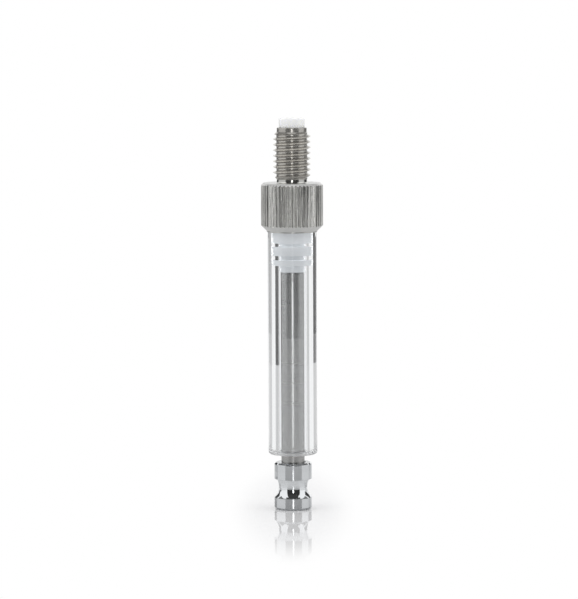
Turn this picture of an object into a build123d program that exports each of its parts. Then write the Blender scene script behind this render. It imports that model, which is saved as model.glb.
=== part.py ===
from build123d import *
import math
import os

# 500 microlitre glass syringe with a threaded port, standing on its plunger
# button with the plunger fully home.  Millimetres, +Z up along the common
# axis, z = 0 under the foot of the button.

# ---- fits -------------------------------------------------------------------
stroke = 30.0             # full travel: 500 microlitres with the bore below
rod_clearance = 0.39      # radial, rod to glass bore
seal_fit = 0.02           # radial, seal ribs to glass bore
bond_gap = 0.03           # radial, glass to hub socket, filled with adhesive
press_gap = 0.01          # radial, pressed joints of rod, seal and port
tip_gap = 0.10            # seal face to port face with the plunger home
cutter_overrun = 0.03     # of a groove's cutter past the surface that it cuts

# ---- glass barrel -----------------------------------------------------------
bore_d = 4.607
glass_wall = 1.6965
rod_exposed = 1.40        # rod between button and barrel, plunger home
stroke_spare = 0.70       # lowest rib still this far inside at full stroke
rim_round = 0.45          # fire-polished rim of the open end
mouth_edge = 0.20         # broken edge inside the mouth
ground_edge = 0.15        # ground edge inside the hub

# ---- plunger button, a turned spool -----------------------------------------
foot_d = 6.16
foot_chamfer = 0.30
foot_h = 1.90
waist_d = 4.66
flare_h = 1.60            # foot up to the waist
throat_h = 1.47           # waist up to the ledge
ledge_w = 0.35            # step out from the throat to the collar
button_d = 6.16
button_collar_h = 2.73
button_edge = 0.30
rod_socket_depth = 3.40
rod_socket_lead = 0.20    # countersink round the rod

# ---- rod head and plunger seal ----------------------------------------------
neck_d = 2.50
neck_h = 1.00
head_d = 3.20
head_lead = 0.45
head_end_gap = 0.10
ring_floor_d = 2.04       # floor of the ring groove in the head
ring_rise = 1.35          # underside of the head to the middle of the ring
ring_play = 0.22          # along the axis
ring_sides = 8            # flats that stand for the round section
crown = 3.50              # solid seal beyond the rod head
skirt_relief = 0.17       # radial, skirt to glass bore
rib_relief = 0.25         # radial, grooves between ribs to glass bore
skirt_h = 1.00
rib_heights = (1.00, 1.50, 3.45)
rib_spacings = (0.66, 0.50, 0.50)
top_rib_h = 2.99
seal_lead = 0.25

# ---- threaded hub -----------------------------------------------------------
glass_in_hub = 4.78
collar_wall = 1.04
collar_h = 8.00
collar_edge = 0.38
lip_wall = 0.11           # thin lower lip on the glass
lip_h = 0.15
relief_d = 4.94
relief_h = 0.58
thread_d = 6.35           # 1/4-28 UNF, major diameter
thread_pitch = 25.4 / 28  # its turns stand as rings, a pitch apart
thread_h = 7.75
thread_chamfer = 0.60
thread_crest = 0.43       # broad flat that carries the full diameter
thread_angle = 60.0
pilot_d = 4.88
pilot_h = 0.70

# ---- straight knurl round the collar ----------------------------------------
knurl_count = 48
knurl_depth = 0.24
knurl_angle = 90.0

# ---- port insert ------------------------------------------------------------
flange_t = 1.00
stem_d = 3.10
nose_d = 4.20
nose_h = 1.52
nose_edge = 0.15
flow_d = 1.20

# ---- derived radii ----------------------------------------------------------
bore_r = bore_d / 2
glass_r = bore_r + glass_wall
rod_r = bore_r - rod_clearance
rib_r = bore_r - seal_fit
head_r = head_d / 2
socket_r = glass_r + bond_gap
collar_r = socket_r + collar_wall
lip_r = socket_r + lip_wall
stem_r = stem_d / 2

# ---- derived levels, foot to nose -------------------------------------------
waist_z = foot_h + flare_h
ledge_z = waist_z + throat_h
button_top = ledge_z + button_collar_h
rod_foot = button_top - rod_socket_depth
seal_h = skirt_h + sum(rib_heights) + sum(rib_spacings) + top_rib_h
glass_foot = button_top + rod_exposed
glass_length = stroke + stroke_spare + seal_h - skirt_h + tip_gap
glass_top = glass_foot + glass_length
seal_top = glass_top - tip_gap
seal_foot = seal_top - seal_h
head_foot = seal_foot + neck_h
head_top = seal_top - crown - head_end_gap
ring_z = head_foot + ring_rise
ring_r = (head_r + press_gap - ring_floor_d / 2) / 2 - press_gap
ring_mid_r = (head_r + press_gap + ring_floor_d / 2) / 2
hub_foot = glass_top - glass_in_hub
socket_top = glass_top + flange_t
collar_top = hub_foot + collar_h
thread_foot = collar_top + relief_h
pilot_foot = thread_foot + thread_h
hub_top = pilot_foot + pilot_h


def turned(outline):
    """Solid of revolution about +Z from a closed (radius, height) outline."""
    return revolve(make_face(Plane.XZ * outline), Axis.Z)


def bar(diameter, low, high):
    """Plain round bar along +Z between two levels."""
    length = high - low
    return Pos(0, 0, low + length / 2) * Cylinder(diameter / 2, length)


def glass_barrel():
    """Thick glass tube with its open end fire-polished, its other end ground."""
    tube = bar(2 * glass_r, glass_foot, glass_top) - bar(bore_d, glass_foot, glass_top)
    mouth, rim = tube.edges().group_by(Axis.Z)[0].sort_by(SortBy.RADIUS)
    tube = fillet(rim, rim_round)
    tube = chamfer(mouth, mouth_edge)
    return chamfer(tube.edges().group_by(Axis.Z)[-1], ground_edge)


def plunger_button():
    """Spool with a drive groove: its throat and flare are tangent at the waist."""
    waist = (waist_d / 2, waist_z)
    throat_top = (button_d / 2 - ledge_w, ledge_z)
    flare_foot = (foot_d / 2, foot_h)
    outline = Curve() + [
        Polyline(
            (0, 0),
            (foot_d / 2 - foot_chamfer, 0),
            (foot_d / 2, foot_chamfer),
            flare_foot,
        ),
        TangentArc(waist, flare_foot, tangent=(0, -1)),
        TangentArc(waist, throat_top, tangent=(0, 1)),
        Polyline(
            throat_top,
            (button_d / 2, ledge_z),
            (button_d / 2, button_top - button_edge),
            (button_d / 2 - button_edge, button_top),
            (0, button_top),
            (0, 0),
        ),
    ]
    socket_wall = rod_r + press_gap
    socket = turned(
        Polyline(
            (0, rod_foot),
            (socket_wall, rod_foot),
            (socket_wall, button_top - rod_socket_lead),
            (socket_wall + rod_socket_lead, button_top),
            (0, button_top),
            (0, rod_foot),
        )
    )
    return turned(outline) - socket


def plunger_rod():
    """Ground rod with a necked head that the seal snaps over."""
    shank = bar(2 * rod_r, rod_foot, seal_foot)
    neck = bar(neck_d, seal_foot, head_foot)
    head = bar(head_d, head_foot, head_top)
    head = chamfer(head.edges().group_by(Axis.Z)[-1], head_lead)
    half_width = ring_r + ring_play / 2
    ring_band = bar(head_d + 2 * cutter_overrun, ring_z - half_width, ring_z + half_width)
    ring_floor = bar(ring_floor_d, ring_z - half_width, ring_z + half_width)
    return shank + neck + head - (ring_band - ring_floor)


def seal_o_ring():
    """Rubber ring in the head groove, pushing the seal wall outward."""
    section = Pos(ring_mid_r, ring_z) * RegularPolygon(ring_r, ring_sides)
    return revolve(Plane.XZ * section, Axis.Z)


def plunger_seal():
    """One-piece PTFE cap: a skirt, then ribs with grooves between them."""
    skirt_r = bore_r - skirt_relief
    groove_r = bore_r - rib_relief
    level = seal_foot + skirt_h
    points = [(0, seal_foot), (skirt_r, seal_foot), (skirt_r, level)]
    for height, spacing in zip(rib_heights, rib_spacings):
        points += [(rib_r, level), (rib_r, level + height)]
        level += height
        points += [(groove_r, level), (groove_r, level + spacing)]
        level += spacing
    points += [
        (rib_r, level),
        (rib_r, seal_top - seal_lead),
        (rib_r - seal_lead, seal_top),
        (0, seal_top),
        (0, seal_foot),
    ]
    lip = bar(neck_d + 2 * press_gap, seal_foot, head_foot)
    pocket = bar(head_d + 2 * press_gap, head_foot, seal_top - crown)
    return turned(Polyline(*points)) - lip - pocket


def knurled_blank():
    """Collar outline with the knurl's V grooves, cut straight through."""
    half_width = knurl_depth * math.tan(math.radians(knurl_angle / 2))
    outer = collar_r + knurl_depth
    vee = make_face(
        Polyline(
            (collar_r - knurl_depth, 0),
            (outer, 2 * half_width),
            (outer, -2 * half_width),
            (collar_r - knurl_depth, 0),
        )
    )
    section = Circle(collar_r) - PolarLocations(0, knurl_count) * vee
    return Pos(0, 0, hub_foot) * extrude(section, collar_h)


def thread_grooves():
    """V grooves a pitch apart, centred on the threaded stretch."""
    slope = math.tan(math.radians(thread_angle / 2))
    half_gap = (thread_pitch - thread_crest) / 2
    root_r = thread_d / 2 - half_gap / slope
    outer_r = thread_d / 2 + cutter_overrun
    outer_half_gap = half_gap + cutter_overrun * slope
    vee = turned(
        Polyline(
            (root_r, 0),
            (outer_r, -outer_half_gap),
            (outer_r, outer_half_gap),
            (root_r, 0),
        )
    )
    count = int((thread_h - 2 * thread_chamfer) / thread_pitch)
    lowest = thread_foot + (thread_h - (count - 1) * thread_pitch) / 2
    return [Pos(0, 0, lowest + index * thread_pitch) * vee for index in range(count)]


def threaded_hub():
    """Knurled collar, relief neck, 1/4-28 UNF stretch and pilot in one piece."""
    lip_top = hub_foot + lip_h
    collar = turned(
        Polyline(
            (0, hub_foot),
            (lip_r, hub_foot),
            (lip_r, lip_top),
            (collar_r, lip_top + collar_r - lip_r),
            (collar_r, collar_top - collar_edge),
            (collar_r - collar_edge, collar_top),
            (0, collar_top),
            (0, hub_foot),
        )
    )
    port = turned(
        Polyline(
            (0, collar_top),
            (relief_d / 2, collar_top),
            (relief_d / 2, thread_foot),
            (thread_d / 2 - thread_chamfer, thread_foot),
            (thread_d / 2, thread_foot + thread_chamfer),
            (thread_d / 2, pilot_foot - thread_chamfer),
            (thread_d / 2 - thread_chamfer, pilot_foot),
            (pilot_d / 2, pilot_foot),
            (pilot_d / 2, hub_top),
            (0, hub_top),
            (0, collar_top),
        )
    )
    glass_socket = bar(2 * socket_r, hub_foot, socket_top)
    stem_bore = bar(stem_d + 2 * press_gap, socket_top, hub_top)
    port -= thread_grooves()
    return (collar & knurled_blank()) + port - glass_socket - stem_bore


def nose_insert():
    """PTFE port seal: flange on the glass, stem through the hub, sealing nose."""
    flange = bar(2 * glass_r, glass_top, socket_top)
    stem = bar(stem_d, socket_top, hub_top)
    nose = bar(nose_d, hub_top, hub_top + nose_h)
    nose = chamfer(nose.edges().group_by(Axis.Z)[-1], nose_edge)
    return flange + stem + nose - bar(flow_d, glass_top, hub_top + nose_h)


nodes = {
    "plunger_button": plunger_button(),
    "plunger_rod": plunger_rod(),
    "seal_o_ring": seal_o_ring(),
    "plunger_seal": plunger_seal(),
    "glass_barrel": glass_barrel(),
    "threaded_hub": threaded_hub(),
    "nose_insert": nose_insert(),
}

os.makedirs("parts", exist_ok=True)
for name, solid in nodes.items():
    export_step(solid, f"parts/{name}.step")
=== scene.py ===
import math
import random

import bpy
from mathutils import Matrix, Vector


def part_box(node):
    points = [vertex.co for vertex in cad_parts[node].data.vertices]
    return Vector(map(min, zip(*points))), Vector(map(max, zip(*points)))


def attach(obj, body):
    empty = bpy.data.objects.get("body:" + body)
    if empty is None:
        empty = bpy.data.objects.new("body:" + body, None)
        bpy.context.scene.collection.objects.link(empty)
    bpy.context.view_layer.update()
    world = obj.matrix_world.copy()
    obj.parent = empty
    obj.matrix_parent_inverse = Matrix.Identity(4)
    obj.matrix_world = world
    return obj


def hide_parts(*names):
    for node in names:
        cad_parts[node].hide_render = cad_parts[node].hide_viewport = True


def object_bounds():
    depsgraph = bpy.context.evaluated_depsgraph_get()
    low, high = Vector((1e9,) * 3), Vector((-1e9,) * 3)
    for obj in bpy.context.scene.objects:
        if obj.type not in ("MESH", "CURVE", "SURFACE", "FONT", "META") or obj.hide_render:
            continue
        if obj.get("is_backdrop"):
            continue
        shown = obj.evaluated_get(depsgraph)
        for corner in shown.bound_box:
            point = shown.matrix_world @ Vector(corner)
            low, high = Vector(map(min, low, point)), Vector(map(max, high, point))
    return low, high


# Looks for the glass microsyringe. Lengths are metres; MM turns millimetres into them.
MM = 0.001
SEED = 7

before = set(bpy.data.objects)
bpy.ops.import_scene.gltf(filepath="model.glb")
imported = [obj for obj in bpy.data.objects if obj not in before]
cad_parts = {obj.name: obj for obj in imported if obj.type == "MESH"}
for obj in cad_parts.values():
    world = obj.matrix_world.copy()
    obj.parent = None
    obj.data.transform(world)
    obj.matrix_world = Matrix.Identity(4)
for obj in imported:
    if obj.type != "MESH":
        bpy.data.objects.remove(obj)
cad_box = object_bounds()


def span(node):
    """Lowest level, highest level and outer radius of a CAD node."""
    low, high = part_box(node)
    return low[2], high[2], high[1]


glass_foot, glass_top, glass_r = span("glass_barrel")
hub_foot, hub_top, _ = span("threaded_hub")
rod_foot, rod_top, rod_r = span("plunger_rod")
button_foot, button_top, button_r = span("plunger_button")
seal_foot, seal_top, _ = span("plunger_seal")
ring_low, ring_high, ring_outer_r = span("seal_o_ring")
_, nose_top, _ = span("nose_insert")

# ---- sizes that the boxes don't hold ------------------------------------------------
bore_r = 2.3035 * MM
rim_round = 0.45 * MM           # fire-polished open end, outside
rim_inner_round = 0.25 * MM
glass_top_round = 0.12 * MM

collar_r = 5.07 * MM
collar_top = hub_foot + 8.00 * MM
collar_edge = 0.38 * MM         # 45 degree chamfer at the top of the knurl
lip_r = 4.14 * MM
lip_h = 0.15 * MM
lip_corner = 0.04 * MM
chamfer_foot = hub_foot + lip_h
chamfer_top = chamfer_foot + collar_r - lip_r
knurl_count = 48
knurl_depth = 0.24 * MM
knurl_root_round = 0.02 * MM

relief_r = 2.47 * MM
relief_fillet = 0.22 * MM
relief_land_r = relief_r + 0.24 * MM
crown_inner_r = relief_r + 0.10 * MM

thread_foot = collar_top + 0.58 * MM
thread_top = thread_foot + 7.75 * MM
thread_r = 3.12 * MM
thread_root_r = 2.50 * MM
thread_pitch = 25.4 / 28 * MM
thread_crest_w = 0.05 * MM
thread_crest_round = 0.05 * MM
thread_root_round = 0.12 * MM
thread_flank = math.radians(24)     # from the plane across the axis
thread_crest_z = 61.33 * MM         # where one crest crosses +X
thread_foot_slope = 0.80            # how fast the turns grow from either end
thread_top_slope = 1.05
thread_dive = 0.02 * MM             # thread ends sink under the plain core
core_r = thread_root_r - 0.01 * MM
core_foot = thread_foot + 0.05 * MM
core_top = thread_top - 0.03 * MM
relief_top = thread_foot + 0.02 * MM

pilot_r = 2.44 * MM
socket_r = 4.03 * MM
socket_top = glass_top + 1.00 * MM
stem_r = 1.55 * MM
nose_r = 2.10 * MM
nose_foot = hub_top + 0.005 * MM
nose_round = 0.16 * MM
flow_r = 0.60 * MM
flange_slack = 0.02 * MM

foot_h = 1.90 * MM
foot_edge = 0.30 * MM
button_edge = 0.27 * MM
waist_r = 2.33 * MM
waist_z = 3.50 * MM
throat_r = 2.73 * MM
ledge_z = 4.97 * MM
flare_r = button_r - 0.02 * MM
dish_depth = 0.20 * MM          # the top dips towards the rod
dish_r = rod_r + 0.22 * MM

neck_r = 1.25 * MM
head_r = 1.60 * MM
head_foot = seal_foot + 1.00 * MM
head_crown = 0.40 * MM
ring_seat_edge = 0.03 * MM
ring_seat_r = 1.02 * MM
ring_slack = 0.05 * MM

# The skirt and ribs of the seal sit 0.4 mm above the solid's, as the photograph
# has them.
skirt_foot = seal_foot + 0.40 * MM
skirt_r = 2.1335 * MM
groove_r = 2.0535 * MM
rib_r = bore_r + 0.004 * MM     # the ribs press on the glass
rib_edge = 0.04 * MM
groove_corner = 0.02 * MM
skirt_edge = 0.06 * MM
crown_bevel = (0.25 * MM, 0.20 * MM)    # across and down, at the top of the seal
rib_bands = ((40.18, 41.22), (41.80, 43.42), (43.84, 46.91), (47.41, 50.40))

seat = 0.01 * MM                # slack between pieces that seat on each other
soft_edge = 0.05 * MM
smooth_edge = 0.08 * MM
plain_edge = 0.10 * MM


# ---- mesh helpers -------------------------------------------------------------------
def rounded(corners, steps=6):
    """Profile of a turned piece from (radius, level, rounding) corners.

    The solid lies to the left of the direction of travel. Returns segments of
    two (point, normal) ends, so that flats stay flat and roundings stay round."""
    points = [Vector(corner[:2]) for corner in corners]
    ends = []
    for i, (_, _, size) in enumerate(corners):
        p = points[i]
        if size and 0 < i < len(corners) - 1:
            back = (points[i - 1] - p).normalized()
            ahead = (points[i + 1] - p).normalized()
            half = back.angle(ahead) / 2
            centre = p + (back + ahead).normalized() * (size / math.sin(half))
            tangent = size / math.tan(half)
            first = (p + back * tangent - centre).normalized()
            last = (p + ahead * tangent - centre).normalized()
            ways = [first.slerp(last, k / steps) for k in range(steps + 1)]
            ends.append([(centre + way * size, way) for way in ways])
        else:
            ends.append([(p, None)])
    segments = []
    for i in range(len(ends) - 1):
        bend = ends[i]
        if len(bend) > 1:
            before = (bend[0][0] - points[i - 1]).normalized()
            outward = Vector((before[1], -before[0]))
            sign = 1 if bend[0][1].dot(outward) > 0 else -1
            for (p, n), (q, m) in zip(bend, bend[1:]):
                segments.append(((p, n * sign), (q, m * sign)))
        p, q = bend[-1][0], ends[i + 1][0][0]
        if (q - p).length > 1e-7:
            way = (q - p).normalized()
            flat = Vector((way[1], -way[0]))
            segments.append(((p, flat), (q, flat)))
    return segments


def turned(point, angle):
    """A (radius, level) pair, carried round the axis."""
    return (point[0] * math.cos(angle), point[0] * math.sin(angle), point[1])


def placed(name, mesh, material):
    obj = bpy.data.objects.new(name, mesh)
    obj.data.materials.append(material)
    bpy.context.collection.objects.link(obj)
    return obj


def lathe(name, corners, material, columns=192):
    """Turned mesh about +Z with exact normals."""
    verts, faces, normals, rings = [], [], [], {}
    angles = [2 * math.pi * k / columns for k in range(columns)]

    def on_axis(point):
        return point[0] < 1e-9

    def ring(point):
        """Index of the first vertex of the ring at a profile point."""
        key = (round(point[0], 9), round(point[1], 9))
        if key not in rings:
            rings[key] = len(verts)
            used = angles[:1] if on_axis(point) else angles
            verts.extend([turned(point, angle) for angle in used])
        return rings[key]

    for (p, n), (q, m) in rounded(corners):
        low, high = ring(p), ring(q)
        for k in range(columns):
            after = (k + 1) % columns
            loop = [(low, p, k, n)]
            if not on_axis(p):
                loop.append((low, p, after, n))
            if not on_axis(q):
                loop.append((high, q, after, m))
            loop.append((high, q, k, m))
            faces.append([first if on_axis(at) else first + j for first, at, j, _ in loop])
            normals += [turned(way, angles[j]) for _, _, j, way in loop]
    mesh = bpy.data.meshes.new(name)
    mesh.from_pydata(verts, [], faces)
    mesh.shade_smooth()
    mesh.normals_split_custom_set(normals)
    return placed(name, mesh, material)


def skin(name, rows, material, wrap=0, sharp=40):
    """Mesh over rows of points that run once round +Z.

    With wrap the last column meets the first one of the row that many higher,
    which closes a helical skin."""
    count = len(rows[0])
    verts = [point for row in rows for point in row]
    faces = []
    for j in range(len(rows) - 1 - wrap):
        for k in range(count):
            lift = wrap if k == count - 1 else 0
            right = (k + 1) % count
            faces.append((
                j * count + k,
                (j + lift) * count + right,
                (j + 1 + lift) * count + right,
                (j + 1) * count + k,
            ))
    mesh = bpy.data.meshes.new(name)
    mesh.from_pydata(verts, [], faces)
    mesh.shade_smooth()
    mesh.set_sharp_from_angle(angle=math.radians(sharp))
    return placed(name, mesh, material)


def joined(name, parts):
    bpy.ops.object.select_all(action="DESELECT")
    for part in parts:
        part.select_set(True)
    bpy.context.view_layer.objects.active = parts[0]
    bpy.ops.object.join()
    parts[0].name = name
    return parts[0]


def dressed(obj, node, body):
    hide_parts(node)
    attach(obj, body)


# ---- node helpers -------------------------------------------------------------------
# Noise spreads its tones between these values.
NOISE_LOW = 0.3
NOISE_HIGH = 0.7


def shader(name):
    material = bpy.data.materials.new(name)
    material.use_nodes = True
    return material, material.node_tree, material.node_tree.nodes["Principled BSDF"]


def fill(tree, socket, value):
    """Links another socket into this one, or sets a plain value."""
    if isinstance(value, bpy.types.NodeSocket):
        tree.links.new(value, socket)
    else:
        socket.default_value = value


def maths(tree, operation, a, b):
    node = tree.nodes.new("ShaderNodeMath")
    node.operation = operation
    fill(tree, node.inputs[0], a)
    fill(tree, node.inputs[1], b)
    return node.outputs[0]


def multiplied(tree, vector, factors):
    node = tree.nodes.new("ShaderNodeVectorMath")
    node.operation = "MULTIPLY"
    fill(tree, node.inputs[0], vector)
    fill(tree, node.inputs[1], factors)
    return node.outputs["Vector"]


def scaled(tree, vector, factor):
    node = tree.nodes.new("ShaderNodeVectorMath")
    node.operation = "SCALE"
    fill(tree, node.inputs[0], vector)
    fill(tree, node.inputs["Scale"], factor)
    return node.outputs["Vector"]


def length(tree, vector):
    node = tree.nodes.new("ShaderNodeVectorMath")
    node.operation = "LENGTH"
    fill(tree, node.inputs[0], vector)
    return node.outputs["Value"]


def spot(tree):
    """Position in the piece's own metres."""
    return tree.nodes.new("ShaderNodeTexCoord").outputs["Object"]


def level(tree):
    """Height in the piece's own metres."""
    node = tree.nodes.new("ShaderNodeSeparateXYZ")
    tree.links.new(spot(tree), node.inputs["Vector"])
    return node.outputs["Z"]


def noise(tree, scale, detail=3.0, stretch=(1, 1, 1)):
    """Noise in the piece's own metres; stretch scales each axis."""
    mapping = tree.nodes.new("ShaderNodeMapping")
    mapping.inputs["Scale"].default_value = stretch
    texture = tree.nodes.new("ShaderNodeTexNoise")
    texture.inputs["Scale"].default_value = scale
    texture.inputs["Detail"].default_value = detail
    tree.links.new(spot(tree), mapping.inputs["Vector"])
    tree.links.new(mapping.outputs["Vector"], texture.inputs["Vector"])
    return texture.outputs["Fac"]


def ramp(tree, value, low, high, start=NOISE_LOW, stop=NOISE_HIGH, kind="LINEAR"):
    """Carries a value from start to stop over to low to high."""
    node = tree.nodes.new("ShaderNodeMapRange")
    node.interpolation_type = kind
    node.inputs["From Min"].default_value = start
    node.inputs["From Max"].default_value = stop
    node.inputs["To Min"].default_value = low
    node.inputs["To Max"].default_value = high
    tree.links.new(value, node.inputs["Value"])
    return node.outputs["Result"]


def tint(tree, value, low, high):
    """Colour that runs between two tones with a noise value."""
    node = tree.nodes.new("ShaderNodeValToRGB")
    first, last = node.color_ramp.elements
    first.position, first.color = NOISE_LOW, (*low, 1)
    last.position, last.color = NOISE_HIGH, (*high, 1)
    tree.links.new(value, node.inputs["Fac"])
    return node.outputs["Color"]


def bump(tree, bsdf, height, depth):
    node = tree.nodes.new("ShaderNodeBump")
    node.inputs["Strength"].default_value = 1.0
    node.inputs["Distance"].default_value = depth
    tree.links.new(height, node.inputs["Height"])
    tree.links.new(node.outputs["Normal"], bsdf.inputs["Normal"])


# ---- materials ----------------------------------------------------------------------
def metal(name, dark, light, rough, grain, stretch, depth, tone_scale=400, metallic=1.0):
    """Bare or plated metal: tone, gloss and tool marks all vary a little."""
    material, tree, bsdf = shader(name)
    bsdf.inputs["Metallic"].default_value = metallic
    tone = noise(tree, tone_scale, detail=4, stretch=stretch)
    tree.links.new(tint(tree, tone, dark, light), bsdf.inputs["Base Color"])
    tree.links.new(ramp(tree, tone, *rough), bsdf.inputs["Roughness"])
    bump(tree, bsdf, noise(tree, grain, detail=2, stretch=stretch), depth)
    return material


def painted_light_by_radius(material, radii, gains):
    """Multiplies a metal's tone by gains that follow the distance from the axis, in mm: painted
    light and shade.
    """
    tree = material.node_tree
    low, high, top = radii[0] * MM, radii[-1] * MM, max(gains)
    off_axis = length(tree, multiplied(tree, spot(tree), (1, 1, 0)))
    curve = tree.nodes.new("ShaderNodeFloatCurve")
    tree.links.new(ramp(tree, off_axis, 0, 1, low, high), curve.inputs["Value"])
    points = curve.mapping.curves[0].points
    for _ in radii[1:-1]:
        points.new(0.5, 0.5)
    for point, radius, gain in zip(points, radii, gains):
        point.location = ((radius * MM - low) / (high - low), gain / top)
        point.handle_type = "VECTOR"
    curve.mapping.update()
    tone = tree.nodes["Principled BSDF"].inputs["Base Color"]
    factor = maths(tree, "MULTIPLY", curve.outputs["Value"], top)
    tree.links.new(scaled(tree, tone.links[0].from_socket, factor), tone)


TURNED = (0.02, 0.02, 1.0)      # marks that run round the axis
CUT = (0.3, 0.3, 1.0)           # short marks round it
DRAWN = (1.0, 1.0, 0.06)        # marks that run along it

knurl_steel = metal(
    "knurl_steel", (0.48, 0.48, 0.46), (0.74, 0.74, 0.72), (0.18, 0.28),
    grain=9000, stretch=DRAWN, depth=0.006 * MM, tone_scale=5000, metallic=0.88,
)
# Darker copy of the collar steel for faces that look down: painted shade.
shaded_edge_steel = metal(
    "shaded_edge_steel", (0.54, 0.54, 0.53), (0.64, 0.64, 0.63), (0.28, 0.38),
    grain=9000, stretch=CUT, depth=0.001 * MM, metallic=0.6,
)
# Lighter copy of the collar steel for faces that look up: painted light.
lit_crown_steel = metal(
    "lit_crown_steel", (0.74, 0.74, 0.73), (0.84, 0.84, 0.83), (0.26, 0.34),
    grain=9000, stretch=CUT, depth=0.001 * MM, metallic=0.6,
)
turned_steel = metal(
    "turned_steel", (0.74, 0.74, 0.71), (0.84, 0.84, 0.81), (0.10, 0.18),
    grain=14000, stretch=TURNED, depth=0.0006 * MM,
)
thread_steel = metal(
    "thread_steel", (0.62, 0.60, 0.56), (0.74, 0.72, 0.68), (0.16, 0.24),
    grain=9000, stretch=CUT, depth=0.0006 * MM, metallic=0.78,
)
ground_steel = metal(
    "ground_steel", (0.39, 0.39, 0.39), (0.43, 0.43, 0.42), (0.24, 0.28),
    grain=9000, stretch=TURNED, depth=0.0001 * MM, tone_scale=1500, metallic=0.84,
)
# Rougher copy of the chrome, painted darker for the faces that look up: painted shade.
shaded_face_chrome = metal(
    "shaded_face_chrome", (0.44, 0.45, 0.46), (0.54, 0.55, 0.56), (0.12, 0.20),
    grain=6000, stretch=TURNED, depth=0.0003 * MM,
)
chrome = metal(
    "chrome", (0.74, 0.76, 0.78), (0.82, 0.84, 0.86), (0.03, 0.07),
    grain=6000, stretch=TURNED, depth=0.0003 * MM,
)
# Painted shade in the thread's roots and flanks, and a painted highlight on its crests.
painted_light_by_radius(thread_steel, (2.44, 2.56, 2.90, 3.08), (0.82, 0.70, 0.78, 1.35))
# Painted reflection on the button: its throat and flare lighter, its outer bands darker.
painted_light_by_radius(chrome, (2.30, 2.95, 3.04, 3.08), (1.05, 1.05, 0.86, 0.86))

GLASS_IOR = 1.474
PTFE_IOR = 1.36
RIM_FROST = 0.55
RIM_CLARITY = 0.70
FROST_BAND = (glass_foot + 0.40 * MM, glass_foot + 0.75 * MM)
CLEAR_BAND = (glass_foot + 0.20 * MM, glass_foot + 0.55 * MM)

# Clear glass, with a frosted and slightly milky rim at the open end.
barrel_glass, tree, bsdf = shader("barrel_glass")
bsdf.inputs["Base Color"].default_value = (0.920, 0.930, 0.938, 1)
bsdf.inputs["IOR"].default_value = GLASS_IOR
frost = ramp(tree, level(tree), RIM_FROST, 0.0, *FROST_BAND)
tree.links.new(frost, bsdf.inputs["Roughness"])
clear = ramp(tree, level(tree), RIM_CLARITY, 1.0, *CLEAR_BAND)
tree.links.new(clear, bsdf.inputs["Transmission Weight"])

port_ptfe, tree, bsdf = shader("port_ptfe")
tone = tint(tree, noise(tree, 900), (0.90, 0.905, 0.92), (0.93, 0.935, 0.94))
tree.links.new(tone, bsdf.inputs["Base Color"])
bsdf.inputs["Roughness"].default_value = 0.42
bsdf.inputs["IOR"].default_value = PTFE_IOR
bsdf.inputs["Subsurface Weight"].default_value = 0.5
bsdf.inputs["Subsurface Radius"].default_value = (0.9, 0.9, 1.0)
bsdf.inputs["Subsurface Scale"].default_value = 0.8 * MM
bump(tree, bsdf, noise(tree, 9000, detail=2, stretch=TURNED), 0.002 * MM)

# The seal is painted lighter towards its top: painted light that cancels the shade under the
# hub.
LIGHT_PAINT_FROM = 42.6 * MM
LIGHT_PAINT_TO = 45.4 * MM
PAINTED_LIGHT_GAIN = 1.34

seal_ptfe, tree, bsdf = shader("seal_ptfe")
tone = tint(tree, noise(tree, 700), (0.690, 0.718, 0.746), (0.730, 0.755, 0.780))
# Painted light: the seal's tone rises with height towards the hub.
painted_light_ramp = ramp(tree, level(tree), 1.0, PAINTED_LIGHT_GAIN, LIGHT_PAINT_FROM, LIGHT_PAINT_TO)
tree.links.new(scaled(tree, tone, painted_light_ramp), bsdf.inputs["Base Color"])
bsdf.inputs["Roughness"].default_value = 0.25
bsdf.inputs["IOR"].default_value = PTFE_IOR / GLASS_IOR     # seen from inside the glass
bump(tree, bsdf, noise(tree, 7000, detail=2, stretch=TURNED), 0.002 * MM)

ring_rubber, tree, bsdf = shader("ring_rubber")
bsdf.inputs["Base Color"].default_value = (0.02, 0.02, 0.022, 1)
tree.links.new(ramp(tree, noise(tree, 4000), 0.45, 0.65), bsdf.inputs["Roughness"])

# ---- barrel body: glass -------------------------------------------------------------
glass_mid = (glass_foot + glass_top) / 2
glass = lathe(
    "glass_tube",
    [
        (bore_r, glass_mid, 0),
        (bore_r, glass_foot, rim_inner_round),
        (glass_r, glass_foot, rim_round),
        (glass_r, glass_top, glass_top_round),
        (bore_r, glass_top, glass_top_round),
        (bore_r, glass_mid, 0),
    ],
    barrel_glass,
    columns=256,
)
glass.visible_shadow = False
glass.visible_diffuse = False
dressed(glass, "glass_barrel", "barrel")

# ---- barrel body: knurled collar ----------------------------------------------------
# The grooves are the lower of the outline and the tooth form, so they run out
# on both chamfers. No two teeth are quite alike.
COLUMNS_PER_TOOTH = 20
CHAMFER_ROWS = 16
EDGE_ROWS = 12
CROWN_ROWS = 2
BEVEL_TILT = 0.3     # how far a face looks up or down to be painted lighter or darker, not knurl

random.seed(SEED)
teeth = [(random.uniform(0.82, 1.06), random.uniform(-0.05, 0.05)) for _ in range(knurl_count)]


def tooth_radius(angle):
    """Radius of the knurl: flat lands with a V groove between them."""
    pitch = 2 * math.pi / knurl_count
    around = angle / pitch + 0.5
    depth, drift = teeth[int(around) % knurl_count]
    across = abs(around % 1 - 0.5 - drift) * pitch * collar_r
    rise = math.hypot(across, knurl_root_round) - knurl_root_round
    return collar_r - max(0.0, knurl_depth * depth - rise)


def collar_row(radius, z):
    count = knurl_count * COLUMNS_PER_TOOTH
    angles = [2 * math.pi * k / count for k in range(count)]
    return [turned((min(radius, tooth_radius(angle)), z), angle) for angle in angles]


def divided(a, b, count):
    """Points from a up to, but not including, b."""
    return [tuple(x + (y - x) * k / count for x, y in zip(a, b)) for k in range(count)]


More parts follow.
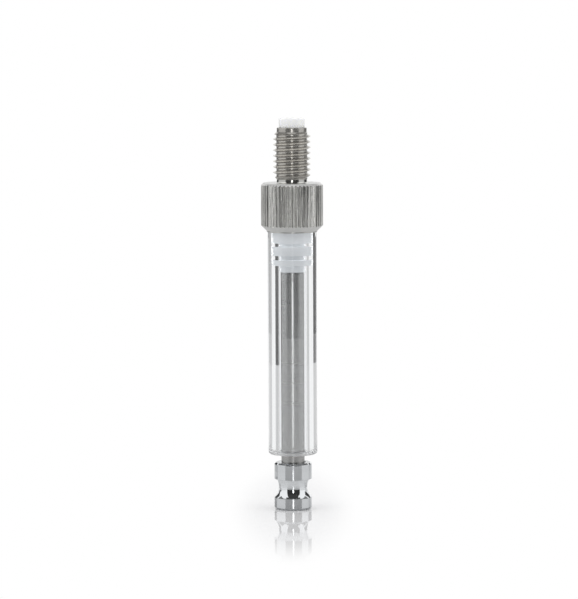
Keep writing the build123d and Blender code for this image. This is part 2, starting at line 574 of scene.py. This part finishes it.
wall_foot = (collar_r, chamfer_top)
wall_top = (collar_r, collar_top - collar_edge)
crown = (collar_r - collar_edge, collar_top)
crown_inner = (crown_inner_r, collar_top)
outline = [
    (socket_r, hub_foot),
    (lip_r - lip_corner, hub_foot),
    (lip_r, hub_foot + lip_corner),
    *divided((lip_r, chamfer_foot), wall_foot, CHAMFER_ROWS),
    wall_foot,
    *divided(wall_top, crown, EDGE_ROWS),
    *divided(crown, crown_inner, CROWN_ROWS),
    crown_inner,
]
collar = skin("collar", [collar_row(*point) for point in outline], knurl_steel)
collar.data.materials.append(lit_crown_steel)
collar.data.materials.append(shaded_edge_steel)
# Faces that look up are painted lighter and faces that look down darker: painted light and
# painted shade on one steel.
for face in collar.data.polygons:
    if face.normal.z > BEVEL_TILT:
        face.material_index = 1
    elif face.normal.z < -BEVEL_TILT:
        face.material_index = 2

# ---- barrel body: helical thread ----------------------------------------------------
THREAD_COLUMNS = 200
THREAD_STEPS = 24       # rows to a turn
thread_rise = thread_r - thread_root_r
flank_share = thread_rise * math.tan(thread_flank) / thread_pitch


def blended(a, b, width):
    """The larger of two radii, with the corner between them rounded."""
    return (a + b + math.hypot(a - b, width)) / 2


def thread_form(phase):
    """Radius across one turn: straight flanks, narrow crest, wide hollow root."""
    away = abs(phase - 0.5)
    flank_r = thread_r + thread_crest_w - away / flank_share * thread_rise
    hollow = blended(flank_r, thread_root_r, thread_root_round)
    return -blended(-thread_r, -hollow, thread_crest_round)


def thread_envelope(z):
    """Radius that no turn passes, which tapers both ends of the thread."""
    from_foot = (z - thread_foot) * thread_foot_slope
    from_top = (thread_top - z) * thread_top_slope
    return thread_root_r - thread_dive + max(0, min(from_foot, from_top))


turns_below = math.ceil((thread_crest_z - thread_foot) / thread_pitch) + 1
start_z = thread_crest_z - (turns_below + 0.5) * thread_pitch
turns = math.ceil((thread_top - start_z) / thread_pitch) + 1
thread_rows = []
for turn in range(turns):
    for step in range(THREAD_STEPS):
        phase = step / THREAD_STEPS
        row = []
        for k in range(THREAD_COLUMNS):
            z = start_z + (turn + phase + k / THREAD_COLUMNS) * thread_pitch
            z = min(max(z, thread_foot), thread_top)
            radius = min(thread_form(phase), thread_envelope(z))
            row.append(turned((radius, z), 2 * math.pi * k / THREAD_COLUMNS))
        thread_rows.append(row)
thread = skin("thread", thread_rows, thread_steel, wrap=THREAD_STEPS)

# ---- barrel body: relief, pilot and the inside of the hub ---------------------------
relief = lathe(
    "relief",
    [
        (relief_land_r, collar_top, 0),
        (relief_r, collar_top, relief_fillet),
        (relief_r, relief_top, 0),
        (core_r, core_foot, 0),
    ],
    turned_steel,
)
pilot = lathe(
    "pilot",
    [
        (core_r, core_top, 0),
        (pilot_r, thread_top, 0),
        (pilot_r, hub_top, plain_edge),
        (stem_r, hub_top, 0),
        (stem_r, socket_top, 0),
        (socket_r, socket_top, 0),
        (socket_r, hub_foot, 0),
    ],
    thread_steel,
)
hub = joined("knurled_hub", [collar, thread, relief, pilot])
dressed(hub, "threaded_hub", "barrel")

# ---- barrel body: port seal ---------------------------------------------------------
flow_mid = (glass_top + nose_top) / 2
insert = lathe(
    "port_seal",
    [
        (flow_r, flow_mid, 0),
        (flow_r, glass_top, soft_edge),
        (glass_r - flange_slack, glass_top, smooth_edge),
        (glass_r - flange_slack, socket_top - seat, smooth_edge),
        (stem_r - seat, socket_top - seat, 0),
        (stem_r - seat, nose_foot, 0),
        (nose_r, nose_foot, soft_edge),
        (nose_r, nose_top, nose_round),
        (flow_r, nose_top, plain_edge),
        (flow_r, flow_mid, 0),
    ],
    port_ptfe,
)
dressed(insert, "nose_insert", "barrel")

# ---- plunger body: rod --------------------------------------------------------------
rod = lathe(
    "ground_rod",
    [
        (0, rod_foot, 0),
        (rod_r, rod_foot, plain_edge),
        (rod_r, skirt_foot, soft_edge),
        (neck_r, skirt_foot, 0),
        (neck_r, head_foot, 0),
        (head_r, head_foot, soft_edge),
        (head_r, ring_low - ring_slack, ring_seat_edge),
        (ring_seat_r, ring_low - ring_slack, 0),
        (ring_seat_r, ring_high + ring_slack, 0),
        (head_r, ring_high + ring_slack, ring_seat_edge),
        (head_r, rod_top, head_crown),
        (0, rod_top, 0),
    ],
    ground_steel,
)
dressed(rod, "plunger_rod", "plunger")


# ---- plunger body: button -----------------------------------------------------------
FLAT_TILT = 0.9      # faces of the head that look straight up are rougher and painted darker, a painted shade


def arc(centre, size, start, stop, count=14):
    """Corners along an arc, start and stop in degrees from +r."""
    corners = []
    for k in range(count + 1):
        angle = math.radians(start + (stop - start) * k / count)
        across, up = size * math.cos(angle), size * math.sin(angle)
        corners.append((centre[0] + across, centre[1] + up, 0))
    return corners


def groove_arc(edge_r, edge_z):
    """Arc from the waist, where it is upright, to one edge of the drive groove."""
    rise, out = edge_z - waist_z, edge_r - waist_r
    size = (out * out + rise * rise) / (2 * out)
    turn = math.degrees(math.asin(rise / size))
    return arc((waist_r + size, waist_z), size, 180, 180 - turn)


flare = list(reversed(groove_arc(flare_r, foot_h)))
throat = groove_arc(throat_r, ledge_z)
button = lathe(
    "chrome_button",
    [
        (0, button_foot, 0),
        (button_r - foot_edge, button_foot, soft_edge),
        (button_r, foot_edge, smooth_edge),
        (button_r, foot_h, 0),
        *flare,
        *throat[1:],
        (button_r, ledge_z, soft_edge),
        (button_r, button_top - button_edge, plain_edge),
        (button_r - button_edge, button_top, plain_edge),
        (dish_r, button_top, soft_edge),
        (rod_r + seat, button_top - dish_depth, 0),
        (rod_r + seat, rod_foot, 0),
        (0, rod_foot, 0),
    ],
    chrome,
    columns=256,
)
# Faces of the head that look straight up take the painted shade.
button.data.materials.append(shaded_face_chrome)
for face in button.data.polygons:
    if face.normal.z > FLAT_TILT and face.center.z > ledge_z:
        face.material_index = 1
dressed(button, "plunger_button", "plunger")

# ---- plunger body: seal and its ring ------------------------------------------------
corners = [(neck_r + seat, skirt_foot, 0), (skirt_r, skirt_foot, skirt_edge)]
for i, (foot, top) in enumerate(rib_bands):
    foot, top = foot * MM, top * MM
    base = groove_r if i else skirt_r
    corners += [(base, foot, groove_corner), (rib_r, foot + rib_edge, rib_edge)]
    if i < len(rib_bands) - 1:
        corners += [(rib_r, top - rib_edge, rib_edge), (groove_r, top, groove_corner)]
corners += [
    (rib_r, seal_top - crown_bevel[1], smooth_edge),
    (rib_r - crown_bevel[0], seal_top, smooth_edge),
    (0, seal_top, 0),
    (0, rod_top + ring_slack, 0),
    (head_r + seat, rod_top + ring_slack, 0),
    (head_r + seat, head_foot, 0),
    (neck_r + seat, head_foot, 0),
    (neck_r + seat, skirt_foot, 0),
]
seal = lathe("ribbed_seal", corners, seal_ptfe)
dressed(seal, "plunger_seal", "plunger")

ring_size = (ring_high - ring_low) / 2
ring_mid = (ring_outer_r - ring_size, (ring_low + ring_high) / 2)
o_ring = lathe("energiser_ring", arc(ring_mid, ring_size, 0, 360, 20), ring_rubber, columns=96)
dressed(o_ring, "seal_o_ring", "plunger")

# ---- stage: floor -------------------------------------------------------------------
# White gloss floor. Metal sees it greyer than the camera does, its gloss fades
# away from the syringe, and far off it turns into the white background.
FLOOR_SEEN = 0.81
FLOOR_IN_METAL = 0.65
FLOOR_BLUE = FLOOR_SEEN * 1.01
FLOOR_GLOSS = 0.38
FLOOR_ROUGHNESS = 0.04
FLOOR_IOR = 1.45
GLOSS_REACH = (8 * MM, 60 * MM)
WHITE_REACH = (4.5 * MM, 11 * MM)
PATCH_SLENDER = 0.20     # the grey patch at the foot is long from back to front

floor_material, tree, bsdf = shader("floor_gloss")
rays = tree.nodes.new("ShaderNodeLightPath").outputs
in_sight = maths(tree, "MAXIMUM", rays["Is Camera Ray"], rays["Is Transmission Ray"])
tone = tree.nodes.new("ShaderNodeMix")
tone.data_type = "RGBA"
tone.inputs["A"].default_value = (FLOOR_IN_METAL, FLOOR_IN_METAL, FLOOR_IN_METAL, 1)
tone.inputs["B"].default_value = (FLOOR_SEEN, FLOOR_SEEN, FLOOR_BLUE, 1)
tree.links.new(in_sight, tone.inputs["Factor"])
tree.links.new(tone.outputs["Result"], bsdf.inputs["Base Color"])
gloss = ramp(tree, length(tree, spot(tree)), FLOOR_GLOSS, 0.0, *GLOSS_REACH)
tree.links.new(gloss, bsdf.inputs["Specular IOR Level"])
bsdf.inputs["Roughness"].default_value = FLOOR_ROUGHNESS
bsdf.inputs["IOR"].default_value = FLOOR_IOR

off_patch = length(tree, multiplied(tree, spot(tree), (1, PATCH_SLENDER, 1)))
whiteness = ramp(tree, off_patch, 0, 1, *WHITE_REACH, kind="SMOOTHSTEP")
white = tree.nodes.new("ShaderNodeEmission")
blend = tree.nodes.new("ShaderNodeMixShader")
tree.links.new(maths(tree, "MULTIPLY", in_sight, whiteness), blend.inputs["Fac"])
tree.links.new(bsdf.outputs["BSDF"], blend.inputs[1])
tree.links.new(white.outputs["Emission"], blend.inputs[2])
tree.links.new(blend.outputs["Shader"], tree.nodes["Material Output"].inputs["Surface"])
bpy.ops.mesh.primitive_circle_add(vertices=128, radius=30, fill_type="NGON", location=(0, 0, 0))
floor = bpy.context.object
floor.name = "floor"
floor.data.materials.append(floor_material)
floor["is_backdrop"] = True

# ---- stage: cards -------------------------------------------------------------------
CARD_ACROSS, CARD_UP = 24, 16
FLOOR_CARD_Z = 0.4 * MM


def glowing(name, azimuths, shade, point_at):
    """Dark, grey or bright panel that only metal and glass see. Azimuth 0 is
    towards the camera and grows to its right; point_at(azimuth, share of the
    way up) gives its points."""
    material = bpy.data.materials.new(name)
    material.use_nodes = True
    tree = material.node_tree
    tree.nodes.clear()
    glow = tree.nodes.new("ShaderNodeEmission")
    glow.inputs["Color"].default_value = (shade, shade, shade, 1)
    out = tree.nodes.new("ShaderNodeOutputMaterial")
    tree.links.new(glow.outputs["Emission"], out.inputs["Surface"])
    verts, faces = [], []
    for i in range(CARD_UP + 1):
        for j in range(CARD_ACROSS + 1):
            azimuth = azimuths[0] + (azimuths[1] - azimuths[0]) * j / CARD_ACROSS
            verts.append(point_at(math.radians(azimuth), i / CARD_UP))
    for i in range(CARD_UP):
        for j in range(CARD_ACROSS):
            a = i * (CARD_ACROSS + 1) + j
            faces.append((a, a + 1, a + CARD_ACROSS + 2, a + CARD_ACROSS + 1))
    mesh = bpy.data.meshes.new(name)
    mesh.from_pydata(verts, [], faces)
    panel = placed(name, mesh, material)
    panel.visible_camera = False
    panel.visible_diffuse = False
    panel.visible_shadow = False
    panel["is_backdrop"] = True


def card(name, azimuths, heights, shade, distance):
    """Panel on a sphere round the syringe's foot, between two elevations."""
    def point_at(azimuth, up):
        elevation = math.radians(heights[0] + (heights[1] - heights[0]) * up)
        out = distance * math.cos(elevation)
        z = distance * math.sin(elevation)
        return (out * math.sin(azimuth), -out * math.cos(azimuth), z)

    glowing(name, azimuths, shade, point_at)


def on_floor(name, azimuths, reach, shade):
    """Panel that lies on the floor: what the gloss gives back of an upright one."""
    def point_at(azimuth, up):
        out = reach[0] + (reach[1] - reach[0]) * up
        return (out * math.sin(azimuth), -out * math.cos(azimuth), FLOOR_CARD_Z)

    glowing(name, azimuths, shade, point_at)


# In front: dark flags, and between them a bright strip for the pale line down
# the middle of each piece. It is dimmer where the hub mirrors it.
card("flag_front_left", (-49, -3.4), (0, 42), 0.035, 0.26)
card("flag_front_right", (5.4, 55), (0, 42), 0.035, 0.26)
card("strip_low", (-3.4, 5.4), (0, 2.7), 3.4, 0.27)
card("strip_middle", (-3.2, 5.0), (2.7, 7.0), 0.75, 0.27)
card("strip_high", (-3.2, 5.0), (7.0, 28), 3.2, 0.27)
card("flag_over_strip", (-5, 7), (28, 43), 0.035, 0.27)
on_floor("strip_floor", (-3.6, 5.6), (0.075, 0.262), 2.5)

# Behind: the dark lines down the glass, light grey where its lower part shows them.
on_floor("floor_back_left", (-142, -109), (0.040, 0.200), 0.60)
on_floor("floor_back_right", (112, 136), (0.040, 0.200), 0.64)
card("flag_front_top", (-50, 50), (42, 80), 0.05, 0.26)
card("low_back_left", (-142, -109), (0, 8.3), 0.10, 0.20)
card("flag_back_left", (-165, -122), (8.3, 30), 0.05, 0.20)
card("low_back_right", (112, 136), (0, 9.3), 0.60, 0.20)
card("flag_back_right", (106, 152), (9.3, 30), 0.05, 0.20)

# Overhead: a dim ceiling for the faces and roundings that look up.
card("ceiling_back", (105, 255), (36, 64), 0.20, 0.30)
card("ceiling_front", (-85, 85), (60, 78), 0.06, 0.28)
card("ceiling", (0, 360), (64, 78), 0.22, 0.30)
card("ceiling_top", (0, 360), (78, 90), 0.75, 0.30)

# ---- stage: backdrop and lamps ------------------------------------------------------
BACKDROP_SEEN = 1.0
BACKDROP_LIGHT = 0.78
LAMP_AIM = Vector((0, 0, 35 * MM))

world = bpy.data.worlds.new("studio")
bpy.context.scene.world = world
world.use_nodes = True
tree = world.node_tree
backdrop = tree.nodes["Background"]
backdrop.inputs["Color"].default_value = (1, 1, 1, 1)
rays = tree.nodes.new("ShaderNodeLightPath").outputs
seen = maths(tree, "MAXIMUM", rays["Is Camera Ray"], rays["Is Glossy Ray"])
seen = maths(tree, "MAXIMUM", seen, rays["Is Transmission Ray"])
strength = ramp(tree, seen, BACKDROP_LIGHT, BACKDROP_SEEN, 0, 1)
tree.links.new(strength, backdrop.inputs["Strength"])


def softbox(name, azimuth, elevation, distance, size, radiance):
    """Lamp that lights the floor and the matt pieces, and is itself seen in nothing."""
    light = bpy.data.lights.new(name, "AREA")
    light.shape = "RECTANGLE"
    light.size, light.size_y = size
    light.energy = radiance * math.pi * size[0] * size[1]
    lamp = bpy.data.objects.new(name, light)
    az, el = math.radians(azimuth), math.radians(elevation)
    away = Vector((math.sin(az) * math.cos(el), -math.cos(az) * math.cos(el), math.sin(el)))
    lamp.location = LAMP_AIM + away * distance
    lamp.rotation_euler = away.to_track_quat("Z", "Y").to_euler()
    lamp.visible_camera = False
    lamp.visible_glossy = False
    lamp.visible_transmission = False
    bpy.context.collection.objects.link(lamp)


softbox("box_left", -75, 25, 0.45, (0.3, 0.4), 1.2)
softbox("box_right", 75, 25, 0.45, (0.3, 0.4), 1.0)
softbox("box_top", 180, 75, 0.5, (0.5, 0.4), 1.0)

# ---- camera -------------------------------------------------------------------------
# The picture is 578 by 599 pixels. Its middle column passes 3.4 pixels left of
# the syringe's axis, and the syringe leans 0.24 degrees in it.
FRAME_H = 599
PIXEL = 0.1639 * MM
CAMERA_DISTANCE = 550 * MM
CAMERA_HEIGHT = 89 * MM
AIM_Z = 34.56 * MM
AXIS_COLUMN_OFF = 3.4
LEAN = 0.24
SENSOR = 36

cam = bpy.data.objects.new("camera", bpy.data.cameras.new("camera"))
bpy.context.collection.objects.link(cam)
tilt = math.atan((CAMERA_HEIGHT - AIM_Z) / CAMERA_DISTANCE)
sight = math.hypot(CAMERA_HEIGHT - AIM_Z, CAMERA_DISTANCE)
cam.data.sensor_width = SENSOR
cam.data.lens = SENSOR * sight / (FRAME_H * PIXEL)
cam.data.clip_start = 0.01
cam.data.clip_end = 100
side = -AXIS_COLUMN_OFF * PIXEL
cam.matrix_world = (
    Matrix.Translation((side, -CAMERA_DISTANCE, CAMERA_HEIGHT))
    @ Matrix.Rotation(math.pi / 2 - tilt, 4, "X")
    @ Matrix.Rotation(math.radians(-LEAN), 4, "Z")
)
bpy.context.scene.camera = cam
bpy.context.scene.view_settings.view_transform = "Standard"

boxes = {"cad": cad_box, "visual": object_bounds()}
{k: [list(corner) for corner in box] for k, box in boxes.items()}
